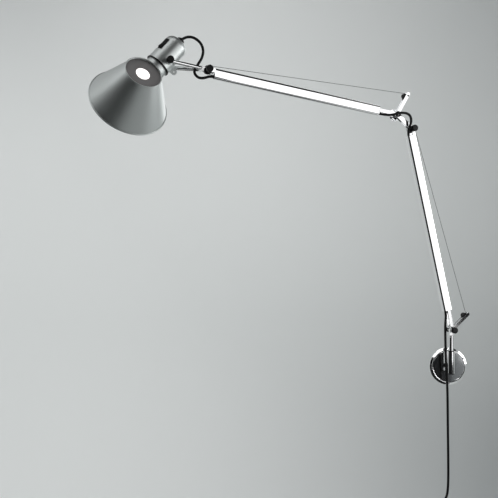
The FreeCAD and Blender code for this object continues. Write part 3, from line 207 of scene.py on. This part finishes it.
# loops side by side; each end of a loop follows four corners set round its bend,
# and each long side two corners drawn in at the waist
def hankPoints():
    middle = (hank["low"] + hank["high"]) / 2
    corner = hank["bend"] / math.cos(math.radians(hank["cornerTurn"] / 2))
    depth = -hank["loops"] * hank["pitch"] / 2
    points = []

    def side(x, up, climb):
        for y, share in zip((middle + up, middle - up), hank["waistShares"]):
            points.append((x, y, depth + climb * share))

    def end(level, first):
        for k in range(hank["corners"]):
            turn = math.radians(first + hank["cornerTurn"] * k)
            points.append((corner * math.cos(turn), level + corner * math.sin(turn), depth))

    for loop in range(hank["loops"]):
        side(-hank["waist"], hank["waistHalf"], 0.0)
        end(hank["low"], hank["lowTurn"])
        side(hank["waist"], -hank["waistHalf"], hank["pitch"])
        depth += hank["pitch"]
        end(hank["high"], hank["highTurn"])
    side(-hank["waist"], hank["waistHalf"], 0.0)
    foot = hank["low"] - hank["tail"]
    bendX, bendRise, bendDepth = hank["tailBend"]
    points.append((-hank["bend"], hank["low"] - hank["leave"], depth))
    points.append((bendX, foot + bendRise, bendDepth))
    points.append((0.0, foot, 0.0))
    return points


# the cord drops from the stem's socket to the hank
hankTop = (-hank["bend"], hank["high"] + hank["lead"], -hank["loops"] * hank["pitch"] / 2)
overHank = (hankTop[0], hankTop[1] + 7, hankTop[2])
mainsRoute = [cordFacts["tailEnd"], (-14.8, 18), (-12, -22), (-10.2, -64), (-9.4, -140),
              (-8.2, -220), (-8.2, -284), (-12.5, -310), overHank, hankTop] + hankPoints()
mainsLine = splineLine("mainsCord", inPlane(mainsRoute))
cordRadius = cordFacts["diameter"] / 2000
mainsCord = tubePiece("mainsCord", mainsLine, cordRadius, cordFacts["mainsAround"])
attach(mainsCord, "stem_group")
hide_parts("hanging_cord", "cord_hank")

# the stretches of cable that cross a joint, and the bodies on their two sides
cableLift = (7.0, 2.2)
headBend = np.array([-631.5, 678.0])
headEnd = (-637.5, 668.0)
headWay = (np.array(headEnd) - headBend) / np.linalg.norm(np.array(headEnd) - headBend)
pastHeadEnd = (headEnd[0] + 6 * headWay[0], headEnd[1] + 6 * headWay[1])
knuckleSpot = (-141.0, 602.3, 16.0)
cableRuns = {
    "headCable": {"node": "head_cable", "bodies": ("lampholder", "yoke_group"),
                  "route": [head.at(57.0, 10.0), head.at(65.5, 10.0), (-652.5, 733.5),
                            (-637.5, 731), (-625, 720.5), (-620.2, 706), (-623.5, 691),
                            tuple(headBend), headEnd]},
    "wristCable": {"node": "wrist_cable", "bodies": ("yoke_group", "upper_arm"),
                   "route": [headEnd, pastHeadEnd, (-639.5, 655), (-632, 648.2),
                             (-621, 647.5, 1), upperArm.at(457.5, *cableLift),
                             upperArm.at(448.5, *cableLift)]},
    "kneeCable": {"node": "knee_cable", "bodies": ("upper_arm", "knuckle"),
                  "route": [upperArm.at(48.0, *cableLift), upperArm.at(40.0, *cableLift),
                            (-174, 596, 9.5), (-160.5, 599.3, 14), (-150, 602.3, 16),
                            knuckleSpot]},
    "elbowCable": {"node": "elbow_cable", "bodies": ("knuckle", "lower_arm"),
                   "route": [knuckleSpot, (-131, 602.3, 16), (-121.5, 594.5, 15),
                             (-119.5, 583, 13.5), lowerArm.at(492.0, 7.0, 9.5),
                             lowerArm.at(482.0, *cableLift), lowerArm.at(475.0, *cableLift)]},
    "tailCable": {"node": "tail_cable", "bodies": ("lower_arm", "stem_group"),
                  "route": [lowerArm.at(49.0, *cableLift), lowerArm.at(39.0, *cableLift),
                            (-17, 112, 1), (-17.2, 90, 0.5), (-16.2, 62),
                            cordFacts["tailEnd"]]},
}
for name, run in cableRuns.items():
    route = inPlane(run["route"])
    piece = tubePiece(name, splineLine(name, route), cordRadius, cordFacts["cableAround"])
    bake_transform(piece)
    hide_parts(run["node"])
    run["piece"] = piece
print("cords are laid")

# each balance wire runs from its lever's drum over a guide roller and down the tube to the
# spring; the bend share marks a point that far along its first straight run from the drum
wireFacts = {"radius": 0.5, "gap": 0.03, "drum": 6.6, "roller": 8.5, "drumSpot": (49.0, 4.0),
             "springSide": -1.2, "bend": 0.15, "straightPoints": 48, "arcPoints": 28,
             "around": 10}
balanceWires = {
    "lowerWire": {"node": "lower_wire", "arm": lowerArm, "length": rest["lowerLength"],
                  "lever": stemLever, "spring": 311.0, "bodies": ("stem_group", "lower_arm")},
    "upperWire": {"node": "upper_wire", "arm": upperArm, "length": rest["upperLength"],
                  "lever": kneeLever, "spring": 280.0, "bodies": ("knuckle", "upper_arm")},
}


# a straight run that touches drum and roller, an arc round the roller, and a straight run to
# the spring; on both straight runs the points lie at the squares of equal steps
def wireLine(facts):
    def flatSpot(member, x, y):
        return np.array(member.at(x, y)[:2])

    hub = flatSpot(facts["arm"], facts["length"], rest["tipSide"])
    drum = flatSpot(facts["lever"], *wireFacts["drumSpot"])
    hook = flatSpot(facts["arm"], facts["spring"], wireFacts["springSide"])
    lie = wireFacts["roller"] + wireFacts["radius"] + wireFacts["gap"]
    drumLie = wireFacts["drum"] + wireFacts["radius"] + wireFacts["gap"]
    way = hub - drum
    reach = np.linalg.norm(way)
    turn = math.atan2(way[1], way[0]) - math.pi / 2 + math.asin((lie - drumLie) / reach)
    outward = np.array([math.cos(turn), math.sin(turn)])
    back = hub - hook
    leaving = (math.atan2(back[1], back[0]) + math.asin(lie / np.linalg.norm(back))
               + math.pi / 2)
    sweep = (leaving - turn + math.pi) % (2 * math.pi) - math.pi
    crest = np.array([math.cos(turn + sweep / 2), math.sin(turn + sweep / 2)])
    if np.dot(crest, way) < 0:
        sweep -= math.copysign(2 * math.pi, sweep)
    angles = turn + np.linspace(0, sweep, wireFacts["arcPoints"])
    arc = hub + lie * np.stack([np.cos(angles), np.sin(angles)], -1)
    share = np.linspace(0, 1, wireFacts["straightPoints"])[:, None] ** 2
    start = drum + outward * drumLie
    return np.vstack([start + (arc[0] - start) * share[:-1], arc,
                      arc[-1] + (hook - arc[-1]) * share[1:]])


for name, facts in balanceWires.items():
    line = inPlane(wireLine(facts))
    straightEnd = line[wireFacts["straightPoints"] - 1]
    bendEnd = line[0] + (straightEnd - line[0]) * wireFacts["bend"]
    piece = tubePiece(name, line, wireFacts["radius"] / 1000, wireFacts["around"])
    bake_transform(piece)
    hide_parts(facts["node"])
    facts["piece"] = piece
print("wires are strung")

# the wall rose: a bevelled rim, a rounded bead and a flat face; a pair is a radius and a
# height off the wall, and the bead's third number is its own radius
rose = {"rim": 45.0, "rimHeight": 5.0, "bead": (39.0, 8.2, 1.8), "beadTurns": (20, 148),
        "beadSteps": 12, "faceEdge": 37.3, "face": 9.2, "hole": 8.2, "wall": 1.5,
        "bevel": 4.0, "edge": 0.12, "around": 128}


# two more rings beside each corner keep the flats between the corners flat to the eye
def heldCorners(profile, edge):
    corners = np.array(profile, float)
    held = []
    for before, corner, after in zip(np.roll(corners, 1, 0), corners, np.roll(corners, -1, 0)):
        for other in (before, None, after):
            way = np.zeros(2) if other is None else other - corner
            reach = np.linalg.norm(way)
            held.append(corner if reach == 0 else corner + way / reach * min(edge, reach / 3))
    return np.array(held)


# ring k of the rose: radius r and height h off the wall become (r cos a, -h, r sin a)
def rosePiece():
    middle, height, beadRadius = rose["bead"]
    turns = np.radians(np.linspace(*rose["beadTurns"], rose["beadSteps"]))
    bead = [(middle + beadRadius * math.cos(turn), height + beadRadius * math.sin(turn))
            for turn in turns]
    inside = rose["rim"] - rose["wall"]
    under = rose["face"] - rose["wall"]
    profile = [(rose["rim"], 0.0), (rose["rim"], rose["rimHeight"])] + bead + [
        (rose["faceEdge"], rose["face"]), (rose["hole"], rose["face"]), (rose["hole"], under),
        (inside - rose["bevel"], under), (inside, under - rose["bevel"]), (inside, 0.0)]
    rings = heldCorners(profile, rose["edge"]) / 1000
    angle = np.linspace(0, 2 * math.pi, rose["around"], endpoint=False)
    points = np.stack([rings[:, :1] * np.cos(angle),
                       np.broadcast_to(-rings[:, 1:], (len(rings), rose["around"])),
                       rings[:, :1] * np.sin(angle)], -1).reshape(-1, 3)
    return meshPiece("wallRose", points, gridFaces(len(rings), rose["around"], ring=True))


wallRose = rosePiece()
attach(wallRose, "wall_bracket")
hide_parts("plate_cover")
print("wall rose is turned")


# a number that changes over a surface; sums and products on it add Math nodes
class Signal:
    def __init__(self, finish, socket):
        self.finish = finish
        self.socket = socket

    def joined(self, operation, first, second):
        return self.finish.node("ShaderNodeMath", {"operation": operation},
                                {0: first, 1: second})

    def __add__(self, other):
        return self.joined("ADD", self, other)

    def __radd__(self, other):
        return self.joined("ADD", other, self)

    def __sub__(self, other):
        return self.joined("SUBTRACT", self, other)

    def __rsub__(self, other):
        return self.joined("SUBTRACT", other, self)

    def __mul__(self, other):
        return self.joined("MULTIPLY", self, other)

    def __rmul__(self, other):
        return self.joined("MULTIPLY", other, self)


# the places of a colour Mix node's sockets, whose names repeat
mixSpots = {"factor": 0, "first": 6, "second": 7, "result": 2}


class Finish:
    def __init__(self, name, **constants):
        self.material = bpy.data.materials.new(name)
        self.material.use_nodes = True
        self.tree = self.material.node_tree
        self.shader = self.tree.nodes["Principled BSDF"]
        for socket, value in constants.items():
            self.shader.inputs[socket.replace("_", " ")].default_value = value

    def node(self, kind, settings=None, sockets=None, output=0):
        made = self.tree.nodes.new(kind)
        for key, value in (settings or {}).items():
            setattr(made, key, value)
        for key, value in (sockets or {}).items():
            if isinstance(value, Signal):
                self.tree.links.new(value.socket, made.inputs[key])
            else:
                made.inputs[key].default_value = value
        return Signal(self, made.outputs[output])

    # the piece's own coordinates, stretched and then shifted
    def place(self, stretch=(1.0, 1.0, 1.0), shift=(0.0, 0.0, 0.0)):
        spot = self.node("ShaderNodeTexCoord", output="Object")
        return self.node("ShaderNodeMapping", {},
                         {"Vector": spot, "Scale": stretch, "Location": shift})

    # one at a spot, falling smoothly to nothing at a distance from it
    def patch(self, centre, reach):
        shift = tuple(-part / reach for part in centre)
        near = self.place((1 / reach,) * 3, shift)
        return self.node("ShaderNodeTexGradient", {"gradient_type": "QUADRATIC_SPHERE"},
                         {"Vector": near}, "Fac")

    def noise(self, vector, scale, detail=2.0, rough=0.5):
        return self.node("ShaderNodeTexNoise", {}, {"Vector": vector, "Scale": scale,
                                                    "Detail": detail, "Roughness": rough})

    def mixed(self, factor, first, second):
        return self.node("ShaderNodeMix", {"data_type": "RGBA"},
                         {mixSpots["factor"]: factor, mixSpots["first"]: (*first, 1.0),
                          mixSpots["second"]: (*second, 1.0)}, mixSpots["result"])

    def bump(self, height, strength, distance):
        return self.node("ShaderNodeBump", {}, {"Height": height, "Strength": strength,
                                                "Distance": distance})

    # the share of the surface that the factor gives lets light straight through
    def seenThrough(self, factor):
        clear = self.node("ShaderNodeBsdfTransparent")
        both = self.node("ShaderNodeMixShader", {},
                         {0: factor, 1: Signal(self, self.shader.outputs[0]), 2: clear})
        surface = self.tree.nodes["Material Output"].inputs["Surface"]
        self.tree.links.new(both.socket, surface)

    def feeds(self, **links):
        for socket, signal in links.items():
            self.tree.links.new(signal.socket, self.shader.inputs[socket.replace("_", " ")])
        return self


# drawn metal: a grain stretched along the piece and a soft cloud share the change in gloss
metalGrain = {"stretch": 0.06, "drawnScale": 30.0, "drawnDetail": 3.0, "cloudScale": 18.0,
              "drawnShare": 0.6, "cloudShare": 0.4, "middle": 0.5, "depth": 0.0002}
# moulded plastic: a fine grain on the surface and a soft cloud in the colour
mouldGrain = {"detail": 3.0, "rough": 0.6, "cloudScale": 30.0, "spread": 0.12, "middle": 0.5,
              "depth": 0.0003}


def brightMetal(name, colour, dark, roughness, spread, grain, relief=0.02):
    finish = Finish(name, Metallic=1.0)
    drawn = finish.noise(finish.place((grain, grain, grain * metalGrain["stretch"])),
                         metalGrain["drawnScale"], metalGrain["drawnDetail"])
    cloud = finish.noise(finish.place(), metalGrain["cloudScale"])
    change = drawn * metalGrain["drawnShare"] + cloud * metalGrain["cloudShare"]
    finish.feeds(Base_Color=finish.mixed(cloud, dark, colour),
                 Roughness=roughness + spread * (change - metalGrain["middle"]),
                 Normal=finish.bump(drawn, relief, metalGrain["depth"]))
    return finish.material


def moulded(name, colour, lighter, roughness, grainScale, strength, sheen=0.5):
    finish = Finish(name, Specular_IOR_Level=sheen)
    grain = finish.noise(finish.place(), grainScale, mouldGrain["detail"],
                         mouldGrain["rough"])
    cloud = finish.noise(finish.place(), mouldGrain["cloudScale"])
    finish.feeds(Base_Color=finish.mixed(cloud, colour, lighter),
                 Roughness=roughness + mouldGrain["spread"] * (grain - mouldGrain["middle"]),
                 Normal=finish.bump(grain, strength, mouldGrain["depth"]))
    return finish.material


# a soft glow whose colour and pale body both drift a little
def glowing(name, roughness, strength, body, glow):
    finish = Finish(name, Roughness=roughness, Emission_Strength=strength)
    bodyScale, bodyFirst, bodySecond = body
    glowScale, glowFirst, glowSecond = glow
    bodyCloud = finish.noise(finish.place(), bodyScale)
    glowCloud = finish.noise(finish.place(), glowScale)
    finish.feeds(Base_Color=finish.mixed(bodyCloud, bodyFirst, bodySecond),
                 Emission_Color=finish.mixed(glowCloud, glowFirst, glowSecond))
    return finish.material


blackShade = (0.003, 0.003, 0.0035)
blackLighter = (0.006, 0.006, 0.0065)
finishes = {
    "polished": brightMetal("polishedAluminium", (0.86, 0.865, 0.87), (0.80, 0.805, 0.81),
                            roughness=0.07, spread=0.03, grain=30.0, relief=0.004),
    "satin": brightMetal("satinAluminium", (0.62, 0.65, 0.645), (0.58, 0.61, 0.605),
                         roughness=0.46, spread=0.06, grain=60.0),
    "chrome": brightMetal("brightChrome", (0.88, 0.88, 0.89), (0.85, 0.85, 0.86),
                          roughness=0.06, spread=0.03, grain=20.0),
    "steel": brightMetal("plainSteel", (0.62, 0.62, 0.63), (0.5, 0.5, 0.51),
                         roughness=0.28, spread=0.1, grain=50.0),
    "black": moulded("blackPlastic", blackShade, blackLighter,
                     roughness=0.4, grainScale=900.0, strength=0.08, sheen=0.22),
    "cable": moulded("blackCable", blackShade, blackLighter,
                     roughness=0.5, grainScale=1600.0, strength=0.12, sheen=0.2),
    "wire": brightMetal("darkWire", (0.10, 0.10, 0.105), (0.07, 0.07, 0.075),
                        roughness=0.5, spread=0.06, grain=40.0),
    "baffle_dark": moulded("darkPaint", (0.11, 0.105, 0.105), (0.13, 0.125, 0.125),
                           roughness=0.5, grainScale=1200.0, strength=0.06),
    "ceramic": moulded("whiteHolder", (0.75, 0.75, 0.72), (0.8, 0.8, 0.77),
                       roughness=0.35, grainScale=500.0, strength=0.03),
    "opal": glowing("litWindow", roughness=0.4, strength=0.9,
                    body=(60.0, (0.85, 0.85, 0.84), (0.9, 0.9, 0.89)),
                    glow=(40.0, (1.0, 0.90, 0.87), (1.0, 0.95, 0.93))),
    "bulb_glass": glowing("frostedBulb", roughness=0.35, strength=0.6,
                          body=(50.0, (0.86, 0.85, 0.82), (0.92, 0.91, 0.88)),
                          glow=(30.0, (1.0, 0.93, 0.82), (1.0, 0.96, 0.88))),
}

slotOf = {entry["node"]: entry["material_slot"] for entry in frame["record"]["subparts"]}
for node, piece in frame["nodes"].items():
    piece.data.materials.clear()
    piece.data.materials.append(finishes[slotOf[node]])
for piece in [mainsCord] + [run["piece"] for run in cableRuns.values()]:
    piece.data.materials.append(finishes["cable"])
wallRose.data.materials.append(finishes["polished"])
for facts in balanceWires.values():
    facts["piece"].data.materials.append(finishes["wire"])
print("finishes are on")


# a pale bowl round the lamp, soft lamps and dark cloths that only metal sees
stage = {"floor": -1.35, "reach": 3.0, "curve": 1.2, "top": 2.6, "middle": -0.35,
         "around": 96, "curveSteps": 16}


# the profile runs out along the floor, round a quarter circle and up the wall
def bowlPiece():
    flat = stage["reach"] - stage["curve"]
    turn = np.linspace(0, math.pi / 2, stage["curveSteps"])
    radius = np.concatenate([[0.0, flat * 0.5], flat + stage["curve"] * np.sin(turn),
                             [stage["reach"]]])
    height = np.concatenate([[0.0, 0.0], stage["curve"] * (1 - np.cos(turn)),
                             [stage["top"] - stage["floor"]]])
    angle = np.linspace(0, 2 * math.pi, stage["around"], endpoint=False)
    x = radius[:, None] * np.cos(angle) + stage["middle"]
    y = radius[:, None] * np.sin(angle)
    z = np.broadcast_to(height[:, None] + stage["floor"], x.shape)
    points = np.stack([x, y, z], -1).reshape(-1, 3)
    return meshPiece("bowl", points, gridFaces(len(radius), stage["around"], flipped=True))


# patches of painted shade that darken the pale bowl: centre, reach and depth of each
paintedWallShade = {"lowRight": ((1.7, 2.3, -1.4), 3.6, 1.0),
              "topRight": ((1.9, 2.8, 2.3), 3.0, 0.9),
              "topLeft": ((-2.4, 2.8, 2.6), 2.0, 0.7)}
bowl = bowlPiece()
paleWall = Finish("paleWall", Roughness=0.9)
paintedShade = sum(depth * paleWall.patch(centre, reach)
             for centre, reach, depth in paintedWallShade.values())
# the bowl's colour goes from pale to dark grey under the patches of painted shade
paleWall.feeds(Base_Color=paleWall.mixed(paintedShade, (0.85, 0.865, 0.86), (0.06, 0.08, 0.09)))
# a camera outside the bowl looks through its near wall, because the back of a face is clear
# to camera rays
faceBack = paleWall.node("ShaderNodeNewGeometry", output="Backfacing")
cameraRay = paleWall.node("ShaderNodeLightPath", output="Is Camera Ray")
paleWall.seenThrough(faceBack * cameraRay)
bowl.data.materials.append(paleWall.material)

lamps = {
    "panelLamp": {"place": (1.03, -1.43, 0.5), "aim": (0.13, -0.23, 0.5), "size": (1.2, 1.5),
                  "power": 8.5},
    "topLamp": {"place": (-0.9, -0.7, 2.1), "aim": (-0.5, -0.2, 0.4), "size": (1.2, 1.2),
                "power": 7.0},
    "sideLamp": {"place": (-2.0, -0.9, 1.7), "aim": (-0.5, -0.2, 0.5), "size": (0.9, 0.9),
                 "power": 4.5},
    "backLamp": {"place": (0.4, 1.9, 1.2), "aim": (-0.4, -0.1, 0.3), "size": (1.4, 1.4),
                 "power": 9.0},
    "rightLamp": {"place": (1.35, -0.25, 0.5), "aim": (-0.7, -0.3, 0.55), "size": (0.9, 1.1),
                  "power": 13.0},
    "washLamp": {"place": (-0.6, 0.9, 1.3), "aim": (-0.75, 3.0, 0.3), "size": (1.2, 1.2),
                 "power": 5.5},
}
for name, facts in lamps.items():
    light = bpy.data.lights.new(name, "AREA")
    light.shape = "RECTANGLE"
    light.size, light.size_y = facts["size"]
    light.energy = facts["power"]
    lamp = bpy.data.objects.new(name, light)
    lamp.location = facts["place"]
    aim = Vector(facts["aim"]) - Vector(facts["place"])
    lamp.rotation_euler = aim.to_track_quat("-Z", "Y").to_euler()
    lamp.visible_camera = False
    scene.collection.objects.link(lamp)

# dark cloth behind the camera, which only reflections see; its edge goes round the front half
cloth = {"centre": (-0.35, 0.0, 0.3), "radius": 2.55, "from": 197.0, "to": 352.0,
         "low": -72.0, "high": 72.0, "columns": 49, "rows": 33}


# part of a sphere: radius * (cos rise cos across, cos rise sin across, sin rise)
def clothPiece():
    across = np.linspace(cloth["from"], cloth["to"], cloth["columns"])
    rise = np.linspace(cloth["low"], cloth["high"], cloth["rows"])
    across = np.radians(across)[None, :]
    rise = np.radians(rise)[:, None]
    spot = np.stack([np.cos(rise) * np.cos(across), np.cos(rise) * np.sin(across),
                     np.sin(rise) * np.ones_like(across)], -1)
    spot = spot * cloth["radius"] + np.array(cloth["centre"])
    faces = gridFaces(cloth["rows"], cloth["columns"], roundRows=False, flipped=True)
    return meshPiece("darkCloth", spot.reshape(-1, 3), faces)


# two dark boards, over and under the upper arm, keep the rounded edges of its tube dark:
# how far each runs across and deep, and its height
boards = {"upperBoard": ((-1.15, 0.2), (-0.45, 0.95), 1.5),
          "lowerBoard": ((-1.0, 0.05), (-0.55, 0.75), -0.45)}
# a small grey card beside the camera, which the right half of the wall rose reflects
card = {"across": (0.535, 0.66), "deep": -1.93, "height": (-0.6, 0.0)}


def boardPiece(name, across, deep, height):
    points = [(x, y, height) for x, y in zip(across + across[::-1],
                                             (deep[0],) * 2 + (deep[1],) * 2)]
    return meshPiece(name, points, [(0, 1, 2, 3)])


def cardPiece():
    low, high = card["height"]
    points = [(x, card["deep"], z) for x, z in zip(card["across"] + card["across"][::-1],
                                                   (low, low, high, high))]
    return meshPiece("greyCard", points, [(0, 1, 2, 3)])


# a surface that scatters nothing and glows faintly in one colour
def reflectedOnly(name, glow):
    return Finish(name, Roughness=1.0, Base_Color=(0.0, 0.0, 0.0, 1.0),
                  Emission_Color=(*glow, 1.0), Emission_Strength=1.0).material


darkPieces = [clothPiece()] + [boardPiece(name, *facts) for name, facts in boards.items()]
darkCloth = reflectedOnly("darkCloth", (0.006, 0.0065, 0.007))
for piece in darkPieces:
    piece.data.materials.append(darkCloth)
greyCard = cardPiece()
greyCard.data.materials.append(reflectedOnly("greyCard", (0.16, 0.17, 0.175)))
for piece in darkPieces + [greyCard]:
    for ray in ("camera", "diffuse", "shadow", "transmission", "volume_scatter"):
        setattr(piece, "visible_" + ray, False)

room = {"colour": (0.75, 0.755, 0.76, 1.0), "strength": 0.7}
world = bpy.data.worlds.new("paleRoom")
world.use_nodes = True
background = world.node_tree.nodes["Background"]
background.inputs["Color"].default_value = room["colour"]
background.inputs["Strength"].default_value = room["strength"]
scene.world = world
print("stage is set")
